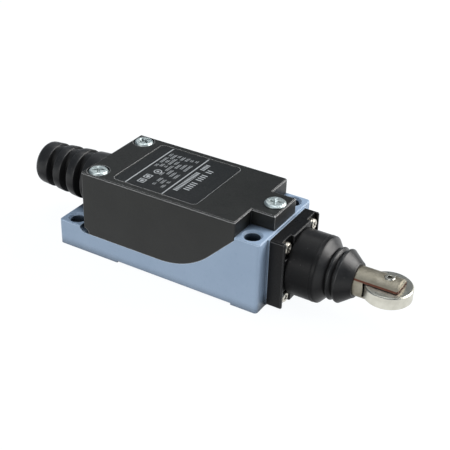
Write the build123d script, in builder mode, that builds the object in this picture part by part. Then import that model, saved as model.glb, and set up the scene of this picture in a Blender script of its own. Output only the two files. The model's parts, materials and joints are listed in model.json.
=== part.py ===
from build123d import *
import os

os.makedirs("parts", exist_ok=True)

# Compact limit switch with a sealed roller plunger, in millimetres.
# Origin: centre of the four mounting holes, on the mounting face.
# +X runs along the plunger and out of the head, +Z from the mounting face to the cover.

# ---- driving dimensions ------------------------------------------------------------
BODY_L = 64.0
BODY_W = 28.0
BODY_H = 25.0
HOLE_PITCH_X = 56.0
HOLE_PITCH_Y = 21.0
HOLE_R = 2.15
RIM = 0.6

EAR_TOP = 7.7
POST_TOP = 20.7
RELIEF = 0.5
RELIEF_X0, RELIEF_X1 = -12.2, 24.2

COVER_X0, COVER_X1 = -23.4, 24.7
COVER_WALL = 2.0
COVER_CORNER_R = 1.8
TONGUE_X1 = 31.6
TONGUE_W = 11.3
SPLIT_Z = 6.0
SPLIT_ARC_X = 1.8
SPLIT_ARC_R = 22.0
SPLIT_ARC_END = (17.356, 12.444)
SPLIT_RAMP_Z = 19.788
SPLIT_GAP = 0.03

FLOOR_Z = 2.8
CAVITY_X0, CAVITY_X1 = -21.4, 23.0
CAVITY_W = 22.8
CORNER_BLOCK_L, CORNER_BLOCK_W = 4.8, 3.4
CORNER_BLOCK_Y = 9.9
INNER_CORNER_R = 0.8
SEAL_T = 0.6
SEAL_W = BODY_W - 1.6

AXIS_Z = 10.6
PAD_X = 32.6
FLANGE_T = 4.2
FLANGE_X1 = PAD_X + FLANGE_T
FLANGE_W = 19.7
FLANGE_Z0, FLANGE_Z1 = 0.7, 20.5
POCKET_X = 35.7
HEAD_SCREW_PITCH = 14.2
HEAD_SCREW_PITCH_Z = 14.8
HEAD_SCREW_X0 = 26.8
BORE_R = 5.2
BOSS_R = 7.6
BOSS_X1 = 44.0
BUSH_X0, BUSH_X1 = 34.5, 42.15
SEAL_SEAT_X, SEAL_SEAT_R = 42.2, 5.6
SEAL_LIP_X = 43.2
O_GROOVE_R0, O_GROOVE_R1, O_GROOVE_T = 6.2, 7.4, 0.8
BOOT_R, BOOT_WALL = 9.0, 0.95
BOOT_X0, BOOT_X1 = 36.9, 53.3
BOOT_LIP_R = 4.7

ROD_R = 4.0
STEM_R = 2.0
SHOULDER_X = 36.0
STEM_X0 = 21.0
WEB_X1 = 25.2
TIP_X = 65.0
SLOT_R = 6.65
SLOT_W = 4.0
ROLLER_X = 61.5
ROLLER_R = 6.25
ROLLER_T = 3.6
PIN_R = 1.43
PIN_HALF = 4.1
PIN_DIMPLE = 0.7

GLAND_Z = 15.6
GLAND_X0 = -47.0
GLAND_X1 = COVER_X0
GLAND_END_R, GLAND_ROOT_R = 6.1, 7.9
GLAND_BORE_R = 3.5
GLAND_GROOVES = (-41.2, -36.1, -30.9)
GLAND_GROOVE_W = 2.4
GLAND_NECK_R, GLAND_LIP_R = 6.5, 7.4

LABEL_X0, LABEL_X1 = -14.5, 11.8
LABEL_W = 24.0
LABEL_DEPTH, LABEL_T = 0.3, 0.15

REAR_SCREW_X, REAR_SCREW_Y = -20.0, 10.6
REAR_SEAT_Z = BODY_H - 0.9
FRONT_SCREW_X = 28.5
M3_R, M3_TAP_R, M3_CLEAR_R = 1.45, 1.5, 1.6
EARTH_X, EARTH_Y = 19.4, -7.6
EARTH_BOSS_Z = 4.0
WASHER_T = 0.6
FOOT_SCREW_X = 16.2

RING_X0 = 22.15
RING_T = 0.65

CASE_X0, CASE_X1 = -6.5, 14.0
CASE_W = 19.4
CASE_Z0, CASE_Z1 = 3.1, 15.4
CASE_WALL = 1.2
LOW_STEP_X0, HIGH_STEP_X0 = -19.0, -12.0
LOW_STEP_Z, HIGH_STEP_Z = 5.9, 12.0
STRIP_T = 0.6
TERMINAL_Y = 5.9
LOW_TERMINAL_X, HIGH_TERMINAL_X = -15.5, -9.2
PUSHER_W = 5.0
PUSHER_X0, PUSHER_X1 = -2.5, 15.4
CONTACT_Y = 6.0


AXIS_PLANE = Plane(origin=(0, 0, AXIS_Z), x_dir=(1, 0, 0), z_dir=(0, -1, 0))
AXIS_LINE = Axis((0, 0, AXIS_Z), (1, 0, 0))


# ---- shared profiles and shapes -----------------------------------------------------
def split_line(x_end, drop=0.0):
    """Parting line: ramp, arc and flat stretch back to x_end."""
    arc_end = (SPLIT_ARC_END[0], SPLIT_ARC_END[1] - drop)
    Line((COVER_X1, SPLIT_RAMP_Z - drop), arc_end)
    RadiusArc(arc_end, (SPLIT_ARC_X, SPLIT_Z - drop), SPLIT_ARC_R)
    Line((SPLIT_ARC_X, SPLIT_Z - drop), (x_end, SPLIT_Z - drop))


def seat_outline(drop=0.0):
    """Side outline of everything under the parting line, lowered by drop."""
    ear_x = COVER_X0 - 1.4
    corner_r = EAR_TOP - SPLIT_Z
    Polyline((ear_x, EAR_TOP - drop), (-BODY_L / 2, EAR_TOP - drop), (-BODY_L / 2, 0))
    Polyline((-BODY_L / 2, 0), (BODY_L / 2, 0), (BODY_L / 2, POST_TOP - drop))
    Line((BODY_L / 2, POST_TOP - drop), (COVER_X1, POST_TOP - drop))
    Line((COVER_X1, POST_TOP - drop), (COVER_X1, SPLIT_RAMP_Z - drop))
    split_line(ear_x + corner_r, drop)
    RadiusArc((ear_x + corner_r, SPLIT_Z - drop), (ear_x, EAR_TOP - drop), corner_r)


def land_outline():
    """Plan of the cavity: a rectangle less the two rear screw corners."""
    with Locations(((CAVITY_X0 + CAVITY_X1) / 2, 0)):
        Rectangle(CAVITY_X1 - CAVITY_X0, CAVITY_W)
    block_x = CAVITY_X0 + CORNER_BLOCK_L / 2
    with Locations((block_x, CORNER_BLOCK_Y), (block_x, -CORNER_BLOCK_Y)):
        Rectangle(CORNER_BLOCK_L, CORNER_BLOCK_W, mode=Mode.SUBTRACT)


def box_between(x0, x1, y0, y1, z0, z1, mode=Mode.ADD):
    """Box given by its limits on each axis."""
    with Locations(((x0 + x1) / 2, (y0 + y1) / 2, (z0 + z1) / 2)):
        Box(abs(x1 - x0), abs(y1 - y0), abs(z1 - z0), mode=mode)


def rod_x(x0, x1, radius, y=0.0, z=AXIS_Z, mode=Mode.ADD):
    """Cylinder along X between two stations."""
    with Locations(Location(((x0 + x1) / 2, y, z), (0, 90, 0))):
        Cylinder(radius, x1 - x0, mode=mode)


def rod_z(x, y, z0, z1, radius, mode=Mode.ADD):
    """Cylinder along Z between two heights."""
    with Locations((x, y, (z0 + z1) / 2)):
        Cylinder(radius, z1 - z0, mode=mode)


def ring_x(x0, x1, outer_r, inner_r, z=AXIS_Z):
    """Plain ring along X."""
    rod_x(x0, x1, outer_r, z=z)
    rod_x(x0 - 1, x1 + 1, inner_r, z=z, mode=Mode.SUBTRACT)


def pan_screw(head_r, head_h, shank_r, length, recess_r):
    """Cross-recessed pan head screw along -Z, with its seat at the origin."""
    with BuildSketch(Plane.XZ) as half:
        with BuildLine():
            Line((0, -length), (shank_r - 0.3, -length))
            Polyline((shank_r - 0.3, -length), (shank_r, 0.3 - length), (shank_r, 0), (head_r, 0))
            Line((head_r, 0), (head_r, head_h * 0.3))
            ThreePointArc(
                (head_r, head_h * 0.3), (head_r * 0.92, head_h * 0.78), (head_r * 0.72, head_h * 0.95)
            )
            Line((head_r * 0.72, head_h * 0.95), (0, head_h))
            Line((0, head_h), (0, -length))
        make_face()
    revolve(half.sketch, axis=Axis.Z)
    for angle in (0, 90):
        with Locations(Location((0, 0, head_h), (0, 0, angle))):
            Box(recess_r * 2, recess_r * 0.42, head_h * 0.9, mode=Mode.SUBTRACT)


def coil_x(x0, turns, length, mean_r, wire_r):
    """Open coil spring along X, its first wire centre at x0."""
    with BuildLine() as coil:
        Helix(length / turns, length, mean_r, center=(x0, 0, AXIS_Z), direction=(1, 0, 0))
    with BuildSketch(Plane(origin=coil.line @ 0, z_dir=coil.line % 0)) as wire:
        Circle(wire_r)
    sweep(wire.sketch, path=coil.line, is_frenet=True)


# ---- cover seal and base ------------------------------------------------------------
with BuildPart() as seal_blank:
    with BuildSketch(Plane.XZ.offset(-SEAL_W / 2)):
        with BuildLine():
            seat_outline()
        make_face()
        with BuildLine():
            seat_outline(SEAL_T)
        make_face(mode=Mode.SUBTRACT)
    extrude(amount=SEAL_W)
    box_between(-BODY_L, COVER_X0 + 0.8, -BODY_W, BODY_W, 0, BODY_H, Mode.SUBTRACT)
    box_between(COVER_X1 - 0.5, BODY_L, -BODY_W, BODY_W, 0, BODY_H, Mode.SUBTRACT)
    with BuildSketch(Plane.XY) as seal_inside:
        land_outline()
    extrude(seal_inside.sketch, amount=BODY_H, mode=Mode.SUBTRACT)

with BuildPart() as cover_gasket:
    add(seal_blank.part)
    for side in (-1, 1):
        rod_z(REAR_SCREW_X, side * REAR_SCREW_Y, 0, BODY_H, 1.8, Mode.SUBTRACT)
cover_gasket.part.label = "cover_gasket"
export_step(cover_gasket.part, "parts/cover_gasket.step")

with BuildPart() as base_housing:
    with BuildSketch(Plane.XZ.offset(-BODY_W / 2)):
        with BuildLine():
            seat_outline()
        make_face()
    extrude(amount=BODY_W)
    outer_corners = base_housing.edges().filter_by(Axis.Z).filter_by(
        lambda e: abs(abs(e.center().X) - BODY_L / 2) < 0.01
    )
    fillet(outer_corners, 0.9)
    tops = base_housing.faces().filter_by(Axis.Z).filter_by(
        lambda f: f.center().Z > EAR_TOP - 0.1
    )
    chamfer(tops.edges().filter_by(lambda e: abs(e.center().X) > 25), 0.25)
    with BuildSketch(Plane.XY.offset(FLOOR_Z)) as cavity_plan:
        land_outline()
        fillet(cavity_plan.vertices(), INNER_CORNER_R)
    extrude(cavity_plan.sketch, amount=BODY_H, mode=Mode.SUBTRACT)
    box_between(RELIEF_X0, RELIEF_X1, -BODY_W / 2, BODY_W / 2, 0, RELIEF, Mode.SUBTRACT)
    add(seal_blank.part, mode=Mode.SUBTRACT)
    # raised pad for the head, spring bore and stem hole
    box_between(BODY_L / 2, PAD_X, -FLANGE_W / 2, FLANGE_W / 2, FLANGE_Z0, FLANGE_Z1)
    rod_x(WEB_X1, PAD_X, BORE_R, mode=Mode.SUBTRACT)
    rod_x(CAVITY_X1, WEB_X1, STEM_R + 0.1, mode=Mode.SUBTRACT)
    # mounting holes with a small rim chamfer
    for x in (-HOLE_PITCH_X / 2, HOLE_PITCH_X / 2):
        rim_z = EAR_TOP if x < 0 else POST_TOP
        for y in (-HOLE_PITCH_Y / 2, HOLE_PITCH_Y / 2):
            rod_z(x, y, -1, BODY_H, HOLE_R, Mode.SUBTRACT)
            with Locations((x, y, rim_z - RIM / 2)):
                Cone(HOLE_R, HOLE_R + RIM, RIM, mode=Mode.SUBTRACT)
    # tapped holes: cover, head, built-in switch and earth screws
    for side in (-1, 1):
        rod_z(REAR_SCREW_X, side * REAR_SCREW_Y, 1.3, SPLIT_Z, M3_TAP_R, Mode.SUBTRACT)
        for z in (AXIS_Z - HEAD_SCREW_PITCH_Z / 2, AXIS_Z + HEAD_SCREW_PITCH_Z / 2):
            rod_x(HEAD_SCREW_X0, PAD_X, 1.0, side * HEAD_SCREW_PITCH / 2, z, Mode.SUBTRACT)
    rod_z(FRONT_SCREW_X, 0, 16.8, POST_TOP, M3_TAP_R, Mode.SUBTRACT)
    rod_z(EARTH_X, EARTH_Y, FLOOR_Z - 0.2, EARTH_BOSS_Z, 3.1)
    rod_z(EARTH_X, EARTH_Y, 1.2, EARTH_BOSS_Z, M3_TAP_R, Mode.SUBTRACT)
    for x in (LOW_TERMINAL_X, FOOT_SCREW_X):
        rod_z(x, 0, 0.9, FLOOR_Z, 1.25, Mode.SUBTRACT)
base_housing.part.label = "base_housing"
export_step(base_housing.part, "parts/base_housing.step")

# ---- cover ----------------------------------------------------------------------------
with BuildPart() as cover:
    with BuildSketch(Plane.XZ.offset(-BODY_W / 2)):
        with BuildLine():
            corner_x = COVER_X0 + COVER_CORNER_R
            corner_z = SPLIT_Z + SPLIT_GAP + COVER_CORNER_R
            split_line(corner_x, -SPLIT_GAP)
            RadiusArc((corner_x, SPLIT_Z + SPLIT_GAP), (COVER_X0, corner_z), -COVER_CORNER_R)
            Polyline((COVER_X0, corner_z), (COVER_X0, BODY_H), (COVER_X1, BODY_H))
            Line((COVER_X1, BODY_H), (COVER_X1, SPLIT_RAMP_Z + SPLIT_GAP))
        make_face()
    extrude(amount=BODY_W)
    tall_corners = cover.edges().filter_by(Axis.Z).filter_by(lambda e: e.length > 1.5)
    fillet(tall_corners, 0.5)
    box_between(COVER_X1 - 4, TONGUE_X1, -TONGUE_W / 2, TONGUE_W / 2, POST_TOP, BODY_H)
    chamfer(cover.faces().sort_by(Axis.Z)[-1].edges(), 0.3)
    with BuildSketch(Plane.XY) as hollow_plan:
        with Locations(((CAVITY_X0 + COVER_X1 - COVER_WALL) / 2, 0)):
            Rectangle(COVER_X1 - COVER_WALL - CAVITY_X0, BODY_W - 2 * COVER_WALL)
        pillar_w = CORNER_BLOCK_W + 0.4
        for side in (-1, 1):
            with Locations((CAVITY_X0 + CORNER_BLOCK_L / 2, side * (CORNER_BLOCK_Y + 0.3))):
                Rectangle(CORNER_BLOCK_L, pillar_w, mode=Mode.SUBTRACT)
        fillet(hollow_plan.vertices(), INNER_CORNER_R)
    extrude(hollow_plan.sketch, amount=BODY_H - COVER_WALL, mode=Mode.SUBTRACT)
    # label recess, screw seats and screw holes
    with BuildSketch(Plane.XY.offset(BODY_H - LABEL_DEPTH)):
        with Locations(((LABEL_X0 + LABEL_X1) / 2, 0)):
            RectangleRounded(LABEL_X1 - LABEL_X0, LABEL_W, 1.5)
    extrude(amount=1, mode=Mode.SUBTRACT)
    for side in (-1, 1):
        rod_z(REAR_SCREW_X, side * REAR_SCREW_Y, REAR_SEAT_Z, BODY_H + 1, 3.1, Mode.SUBTRACT)
        rod_z(REAR_SCREW_X, side * REAR_SCREW_Y, 0, BODY_H, M3_CLEAR_R, Mode.SUBTRACT)
    rod_z(FRONT_SCREW_X, 0, POST_TOP - 1, BODY_H + 1, M3_CLEAR_R, Mode.SUBTRACT)
    rod_x(COVER_X0 - 1, CAVITY_X0 + 0.5, GLAND_NECK_R + 0.1, z=GLAND_Z, mode=Mode.SUBTRACT)
cover.part.label = "cover"
export_step(cover.part, "parts/cover.step")

with BuildPart() as rating_label:
    with BuildSketch(Plane.XY.offset(BODY_H - LABEL_DEPTH)):
        with Locations(((LABEL_X0 + LABEL_X1) / 2, 0)):
            RectangleRounded(LABEL_X1 - LABEL_X0 - 0.3, LABEL_W - 0.3, 1.35)
    extrude(amount=LABEL_T)
rating_label.part.label = "rating_label"
export_step(rating_label.part, "parts/rating_label.step")

with BuildPart() as m3_short:
    pan_screw(2.9, 0.8, M3_R, 7.8, 1.5)

with BuildPart() as m3_long:
    pan_screw(2.8, 1.3, M3_R, 22.4, 1.5)

with BuildPart() as cover_screw_front:
    with Locations(Location((FRONT_SCREW_X, 0, BODY_H), (0, 0, 20))):
        add(m3_short.part)
cover_screw_front.part.label = "cover_screw_front"
export_step(cover_screw_front.part, "parts/cover_screw_front.step")

with BuildPart() as cover_screws_rear:
    for side, turn in ((-1, 35), (1, 70)):
        with Locations(Location((REAR_SCREW_X, side * REAR_SCREW_Y, REAR_SEAT_Z), (0, 0, turn))):
            add(m3_long.part)
cover_screws_rear.part.label = "cover_screws_rear"
export_step(cover_screws_rear.part, "parts/cover_screws_rear.step")

# ---- head -------------------------------------------------------------------------------
with BuildPart() as head_flange:
    box_between(PAD_X, FLANGE_X1, -FLANGE_W / 2, FLANGE_W / 2, FLANGE_Z0, FLANGE_Z1)
    chamfer(head_flange.edges().filter_by(Axis.X), 0.4)
    chamfer(head_flange.faces().sort_by(Axis.X)[-1].edges(), 0.25)
    for y0, y1 in ((-9.05, -4.6), (4.6, 9.05)):
        box_between(POCKET_X, FLANGE_X1 + 1, y0, y1, 15.3, FLANGE_Z1 + 1, Mode.SUBTRACT)
        box_between(POCKET_X, FLANGE_X1 + 1, y0, y1, FLANGE_Z0 - 1, 5.9, Mode.SUBTRACT)
    rod_x(FLANGE_X1 - 1, BOSS_X1, BOSS_R)
    rod_x(PAD_X - 1, BOSS_X1 + 1, BORE_R, mode=Mode.SUBTRACT)
    rod_x(SEAL_SEAT_X, BOSS_X1 + 1, SEAL_SEAT_R, mode=Mode.SUBTRACT)
    rod_x(PAD_X, PAD_X + O_GROOVE_T, O_GROOVE_R1, mode=Mode.SUBTRACT)
    rod_x(PAD_X, PAD_X + O_GROOVE_T, O_GROOVE_R0)
    rod_x(PAD_X - 1, PAD_X + 2, BORE_R, mode=Mode.SUBTRACT)
    for y in (-HEAD_SCREW_PITCH / 2, HEAD_SCREW_PITCH / 2):
        for z in (AXIS_Z - HEAD_SCREW_PITCH_Z / 2, AXIS_Z + HEAD_SCREW_PITCH_Z / 2):
            rod_x(PAD_X, FLANGE_X1, 1.1, y, z, Mode.SUBTRACT)
head_flange.part.label = "head_flange"
export_step(head_flange.part, "parts/head_flange.step")

with BuildPart() as head_seal_ring:
    rod_x(PAD_X, PAD_X + O_GROOVE_T - 0.05, O_GROOVE_R1 - 0.05)
    rod_x(PAD_X - 1, PAD_X + 1, O_GROOVE_R0 + 0.05, mode=Mode.SUBTRACT)
head_seal_ring.part.label = "head_seal_ring"
export_step(head_seal_ring.part, "parts/head_seal_ring.step")

with BuildPart() as m2_screw:
    pan_screw(1.85, 1.3, 0.96, 8.6, 0.95)

with BuildPart() as head_screws:
    for y in (-HEAD_SCREW_PITCH / 2, HEAD_SCREW_PITCH / 2):
        for z in (AXIS_Z - HEAD_SCREW_PITCH_Z / 2, AXIS_Z + HEAD_SCREW_PITCH_Z / 2):
            with Locations(Location((POCKET_X, y, z), (0, 90, 0))):
                add(m2_screw.part)
head_screws.part.label = "head_screws"
export_step(head_screws.part, "parts/head_screws.step")

with BuildPart() as guide_bush:
    rod_x(BUSH_X0, BUSH_X1, BORE_R - 0.02)
    rod_x(BUSH_X0 - 1, BUSH_X1 + 1, ROD_R + 0.04, mode=Mode.SUBTRACT)
guide_bush.part.label = "guide_bush"
export_step(guide_bush.part, "parts/guide_bush.step")

with BuildPart() as rod_seal:
    rod_x(SEAL_SEAT_X + 0.05, BOSS_X1, SEAL_SEAT_R - 0.02)
    rod_x(SEAL_SEAT_X - 1, BOSS_X1 + 1, ROD_R + 0.04, mode=Mode.SUBTRACT)
    rod_x(SEAL_LIP_X, BOSS_X1 + 1, ROD_R + 0.55, mode=Mode.SUBTRACT)
rod_seal.part.label = "rod_seal"
export_step(rod_seal.part, "parts/rod_seal.step")


def bellows_line(shift, end_r):
    """Half section of the boot's folds, moved inward by shift."""
    Line((BOOT_X0, BOOT_R - shift), (44.3, BOOT_R - shift))
    Line((44.3, BOOT_R - shift), (46.5, 6.7 - shift * 0.9))
    ThreePointArc((46.5, 6.7 - shift * 0.9), (46.85, 5.9 - shift), (47.2, 6.5 - shift))
    ThreePointArc((47.2, 6.5 - shift), (47.7, 7.0 - shift), (48.2, 6.5 - shift))
    ThreePointArc((48.2, 6.5 - shift), (48.7, 5.9 - shift), (49.2, 6.5 - shift))
    ThreePointArc((49.2, 6.5 - shift), (49.9, 7.15 - shift), (50.6, 6.7 - shift))
    Line((50.6, 6.7 - shift), (52.9 - shift * 0.7, end_r))
    Line((52.9 - shift * 0.7, end_r), (BOOT_X1, end_r))


with BuildPart() as bellows_boot:
    with BuildSketch(AXIS_PLANE) as boot_wall:
        with BuildLine():
            bellows_line(0, BOOT_LIP_R)
            bellows_line(BOOT_WALL, ROD_R + 0.04)
            Line((BOOT_X1, BOOT_LIP_R), (BOOT_X1, ROD_R + 0.04))
            Line((BOOT_X0, BOOT_R), (BOOT_X0, BOOT_R - BOOT_WALL))
        make_face()
    revolve(boot_wall.sketch, axis=AXIS_LINE)
    rod_x(36.5, BOSS_X1 + 0.1, BOSS_R + 0.02, mode=Mode.SUBTRACT)
bellows_boot.part.label = "bellows_boot"
export_step(bellows_boot.part, "parts/bellows_boot.step")

with BuildPart() as plunger:
    rod_x(SHOULDER_X, TIP_X, ROD_R)
    chamfer(plunger.edges().filter_by(GeomType.CIRCLE), 0.35)
    rod_x(STEM_X0, SHOULDER_X + 1, STEM_R)
    rod_x(STEM_X0 - 0.8, STEM_X0 + 1, 1.2)
    rod_z(ROLLER_X, 0, AXIS_Z - SLOT_W / 2, AXIS_Z + SLOT_W / 2, SLOT_R, Mode.SUBTRACT)
    box_between(ROLLER_X, TIP_X + 1, -5, 5, AXIS_Z - SLOT_W / 2, AXIS_Z + SLOT_W / 2, Mode.SUBTRACT)
    rod_z(ROLLER_X, 0, 0, BODY_H, PIN_R + 0.02, Mode.SUBTRACT)
    with BuildSketch(Plane.YZ.offset(RING_X0)) as ring_groove:
        with Locations((0, AXIS_Z)):
            Circle(STEM_R + 1)
            Circle(STEM_R - 0.5, mode=Mode.SUBTRACT)
    extrude(ring_groove.sketch, amount=RING_T + 0.1, mode=Mode.SUBTRACT)
plunger.part.label = "plunger"
export_step(plunger.part, "parts/plunger.step")

with BuildPart() as retaining_ring:
    ring_x(RING_X0 + 0.05, RING_X0 + 0.05 + RING_T, 3.5, STEM_R - 0.48)
    box_between(RING_X0 - 1, RING_X0 + 2, -1.4, 1.4, AXIS_Z - 5, AXIS_Z, Mode.SUBTRACT)
retaining_ring.part.label = "retaining_ring"
export_step(retaining_ring.part, "parts/retaining_ring.step")

with BuildPart() as return_spring:
    coil_x(WEB_X1 + 0.45, 5.5, SHOULDER_X - WEB_X1 - 0.9, 3.3, 0.35)
return_spring.part.label = "return_spring"
export_step(return_spring.part, "parts/return_spring.step")

with BuildPart() as overtravel_spring:
    coil_x(PUSHER_X1 + 0.3, 5, STEM_X0 - PUSHER_X1 - 0.6, 1.6, 0.2)
overtravel_spring.part.label = "overtravel_spring"
export_step(overtravel_spring.part, "parts/overtravel_spring.step")

with BuildPart() as roller:
    rod_z(ROLLER_X, 0, AXIS_Z - ROLLER_T / 2, AXIS_Z + ROLLER_T / 2, ROLLER_R)
    chamfer(roller.edges().filter_by(GeomType.CIRCLE), 0.3)
    rod_z(ROLLER_X, 0, 0, BODY_H, PIN_R + 0.06, Mode.SUBTRACT)
roller.part.label = "roller"
export_step(roller.part, "parts/roller.step")

with BuildPart() as roller_pin:
    rod_z(ROLLER_X, 0, AXIS_Z - PIN_HALF, AXIS_Z + PIN_HALF, PIN_R)
    chamfer(roller_pin.edges().filter_by(GeomType.CIRCLE), 0.25)
    for z, depth in ((AXIS_Z + PIN_HALF, -PIN_DIMPLE), (AXIS_Z - PIN_HALF, PIN_DIMPLE)):
        rod_z(ROLLER_X, 0, z + min(depth, 0), z + max(depth, 0), 0.6, Mode.SUBTRACT)
roller_pin.part.label = "roller_pin"
export_step(roller_pin.part, "parts/roller_pin.step")

# ---- cable boot ---------------------------------------------------------------------------
GLAND_SLOPE = (GLAND_ROOT_R - GLAND_END_R) / (GLAND_X1 - GLAND_X0)


def gland_radius(x):
    """Outside radius of the tapered boot at station x."""
    return GLAND_END_R + GLAND_SLOPE * (x - GLAND_X0)


with BuildPart() as cable_boot:
    with BuildSketch(Plane.XZ) as boot_half:
        with BuildLine():
            Polyline(
                (GLAND_X0, GLAND_Z), (GLAND_X0, GLAND_Z + GLAND_END_R),
                (GLAND_X1, GLAND_Z + GLAND_ROOT_R), (GLAND_X1, GLAND_Z + GLAND_NECK_R),
                (CAVITY_X0, GLAND_Z + GLAND_NECK_R), (CAVITY_X0, GLAND_Z + GLAND_LIP_R),
                (CAVITY_X0 + 1.5, GLAND_Z + 7.1), (CAVITY_X0 + 1.5, GLAND_Z), close=True,
            )
        make_face()
        fillet(boot_half.vertices().group_by(Axis.X)[0].sort_by(Axis.Y)[-1], 1.4)
    revolve(boot_half.sketch, axis=Axis((0, 0, GLAND_Z), (1, 0, 0)))
    for x in GLAND_GROOVES:
        radius = gland_radius(x)
        with BuildSketch(Plane.YZ.offset(x - GLAND_GROOVE_W / 2)) as groove_ring:
            with Locations((0, GLAND_Z)):
                Circle(radius + 2)
                Ellipse(4.5, radius - 0.25, mode=Mode.SUBTRACT)
        extrude(groove_ring.sketch, amount=GLAND_GROOVE_W, mode=Mode.SUBTRACT)
    rod_x(GLAND_X0 - 1, CAVITY_X0 + 3, GLAND_BORE_R, z=GLAND_Z, mode=Mode.SUBTRACT)
cable_boot.part.label = "cable_boot"
export_step(cable_boot.part, "parts/cable_boot.step")

# ---- built-in switch ------------------------------------------------------------------------
with BuildPart() as insulator_sheet:
    box_between(-20.5, CASE_X1 + 4.5, -9.8, 9.8, FLOOR_Z, CASE_Z0)
    for side in (-1, 1):
        box_between(-21, -16, side * 7.8, side * 11, 0, 9, Mode.SUBTRACT)
    for x in (LOW_TERMINAL_X, FOOT_SCREW_X):
        rod_z(x, 0, 0, 9, 1.4, Mode.SUBTRACT)
    box_between(CASE_X1, CASE_X1 + 5, -10, -3.2, 0, 9, Mode.SUBTRACT)
insulator_sheet.part.label = "insulator_sheet"
export_step(insulator_sheet.part, "parts/insulator_sheet.step")


def nc_strip(side):
    """Normally closed terminal: deck plate, side run and contact tab."""
    deck_top = HIGH_STEP_Z + STRIP_T
    box_between(HIGH_STEP_X0, -4.5, side * 3.8, side * 8.6, HIGH_STEP_Z, deck_top)
    box_between(-5.2, 9.5, side * 8.0, side * 8.6, 8.6, deck_top)
    box_between(8.9, 9.5, side * 4.8, side * 8.6, 8.6, deck_top)


def no_strip(side):
    """Normally open terminal: deck plate, run under the upper deck and contact tab."""
    deck_top = LOW_STEP_Z + STRIP_T
    box_between(LOW_STEP_X0, HIGH_STEP_X0, side * 3.8, side * 7.7, LOW_STEP_Z, deck_top)
    box_between(HIGH_STEP_X0 - 1, -1.7, side * 4.8, side * 7.4, LOW_STEP_Z, deck_top)
    box_between(-2.3, -1.7, side * 4.8, side * 7.4, LOW_STEP_Z, HIGH_STEP_Z)


with BuildPart() as switch_case:
    box_between(LOW_STEP_X0, HIGH_STEP_X0, -CASE_W / 2, CASE_W / 2, CASE_Z0, LOW_STEP_Z)
    box_between(HIGH_STEP_X0, CASE_X0, -CASE_W / 2, CASE_W / 2, CASE_Z0, HIGH_STEP_Z)
    box_between(CASE_X0, CASE_X1, -CASE_W / 2, CASE_W / 2, CASE_Z0, CASE_Z1)
    fillet(switch_case.edges().filter_by(Axis.Z).group_by(Axis.X)[-1], 1.0)
    box_between(CASE_X1 - 1, CASE_X1 + 4.5, -2.6, 2.6, CASE_Z0, CASE_Z0 + 2)
    # insulating ribs between the terminals
    for y in (-3.2, 3.2):
        box_between(LOW_STEP_X0, HIGH_STEP_X0, y - 0.3, y + 0.3, LOW_STEP_Z, LOW_STEP_Z + 2.6)
        box_between(HIGH_STEP_X0, CASE_X0, y - 0.3, y + 0.3, HIGH_STEP_Z, HIGH_STEP_Z + 2.4)
    for side in (-1, 1):
        box_between(LOW_STEP_X0, -16.4, side * 7.8, side * 10, 0, HIGH_STEP_Z, Mode.SUBTRACT)
    # contact chamber, pusher window and strip slots
    box_between(
        CASE_X0 + CASE_WALL, CASE_X1 - CASE_WALL, -8.7, 8.7, CASE_Z0 + CASE_WALL, CASE_Z1 + 1,
        Mode.SUBTRACT,
    )
    half_w = PUSHER_W / 2 + 0.08
    box_between(
        CASE_X1 - 2, CASE_X1 + 1, -half_w, half_w, AXIS_Z - half_w, AXIS_Z + half_w, Mode.SUBTRACT
    )
    for side in (-1, 1):
        box_between(
            CASE_X0 - 0.1, CASE_X0 + 1.3, side * 3.75, side * 8.65,
            HIGH_STEP_Z, HIGH_STEP_Z + STRIP_T + 0.05, Mode.SUBTRACT,
        )
        box_between(
            HIGH_STEP_X0 - 0.1, CASE_X0 + 1.3, side * 4.75, side * 7.45,
            LOW_STEP_Z, LOW_STEP_Z + STRIP_T + 0.05, Mode.SUBTRACT,
        )
        rod_z(LOW_TERMINAL_X, side * TERMINAL_Y, LOW_STEP_Z - 2.4, 9, 1.5, Mode.SUBTRACT)
        rod_z(HIGH_TERMINAL_X, side * TERMINAL_Y, HIGH_STEP_Z - 4, 14, 1.5, Mode.SUBTRACT)
    for x in (LOW_TERMINAL_X, FOOT_SCREW_X):
        rod_z(x, 0, 0, 9, 1.4, Mode.SUBTRACT)
switch_case.part.label = "switch_case"
export_step(switch_case.part, "parts/switch_case.step")

with BuildPart() as switch_lid:
    box_between(CASE_X0, CASE_X1, -CASE_W / 2, CASE_W / 2, CASE_Z1, CASE_Z1 + 1.2)
    fillet(switch_lid.edges().filter_by(Axis.Z), 1.0)
    box_between(
        CASE_X0 + 1.4, CASE_X1 - 1.4, -8.5, 8.5, CASE_Z1 - 0.8, CASE_Z1 + 0.1
    )
    chamfer(switch_lid.faces().sort_by(Axis.Z)[-1].edges(), 0.3)
switch_lid.part.label = "switch_lid"
export_step(switch_lid.part, "parts/switch_lid.step")

with BuildPart() as switch_pusher:
    box_between(
        PUSHER_X0, PUSHER_X1, -PUSHER_W / 2, PUSHER_W / 2,
        AXIS_Z - PUSHER_W / 2, AXIS_Z + PUSHER_W / 2,
    )
    chamfer(switch_pusher.edges().filter_by(Axis.X), 0.4)
    rod_x(PUSHER_X1 - 1, PUSHER_X1 + 0.8, 1.2)
    box_between(4.0, 8.0, -4, 4, AXIS_Z - 1.5, AXIS_Z + 1.5, Mode.SUBTRACT)
    box_between(0.4, 3.2, -4, 4, AXIS_Z - 1.5, AXIS_Z + 1.5, Mode.SUBTRACT)
switch_pusher.part.label = "switch_pusher"
export_step(switch_pusher.part, "parts/switch_pusher.step")

with BuildPart() as pusher_spring:
    coil_x(CASE_X0 + CASE_WALL + 0.25, 4, PUSHER_X0 - CASE_X0 - CASE_WALL - 0.5, 1.5, 0.15)
pusher_spring.part.label = "pusher_spring"
export_step(pusher_spring.part, "parts/pusher_spring.step")

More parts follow.
